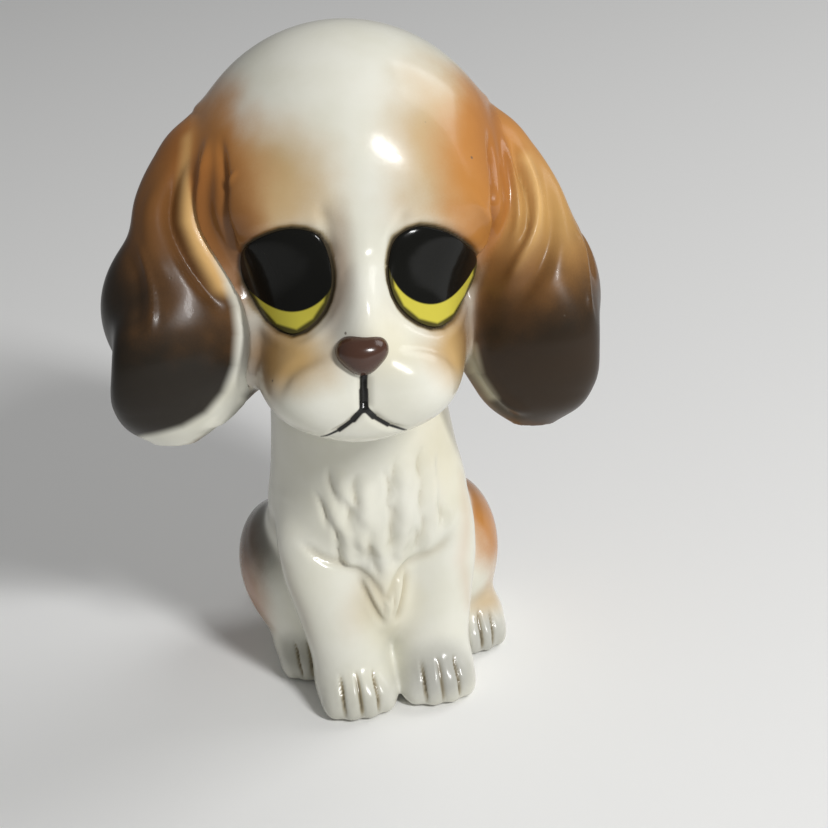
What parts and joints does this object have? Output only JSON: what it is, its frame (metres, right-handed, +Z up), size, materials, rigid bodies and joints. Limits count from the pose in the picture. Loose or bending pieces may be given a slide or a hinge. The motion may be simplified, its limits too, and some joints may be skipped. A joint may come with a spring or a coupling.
{
  "type": "ceramic dog figurine",
  "caption": "Glazed ceramic figurine of a seated puppy with an oversized round head, long hanging ears and large sad eyes.",
  "frame": {"origin": "on the standing surface, on the flat underside of the torso, under the middle of the figure from side to side", "axes": "+Z up; the puppy faces -Y; +X is the puppy's own left side"},
  "size_m": [0.1404, 0.12, 0.2],
  "materials": {
    "cream_glaze": "gloss",
    "ear_glaze": "gloss",
    "patch_glaze": "gloss",
    "eye_glaze": "gloss",
    "nose_glaze": "gloss"
  },
  "bodies": {
    "root": {"torso_shell": "cream_glaze", "head_shell": "cream_glaze", "ear_left": "ear_glaze", "ear_right": "ear_glaze", "eye_left": "eye_glaze", "eye_right": "eye_glaze", "nose": "nose_glaze", "foreleg_left": "cream_glaze", "foreleg_right": "cream_glaze", "haunch_left": "patch_glaze", "haunch_right": "patch_glaze", "hind_paw_left": "cream_glaze", "hind_paw_right": "cream_glaze", "tail": "patch_glaze"}
  },
  "joints": []
}
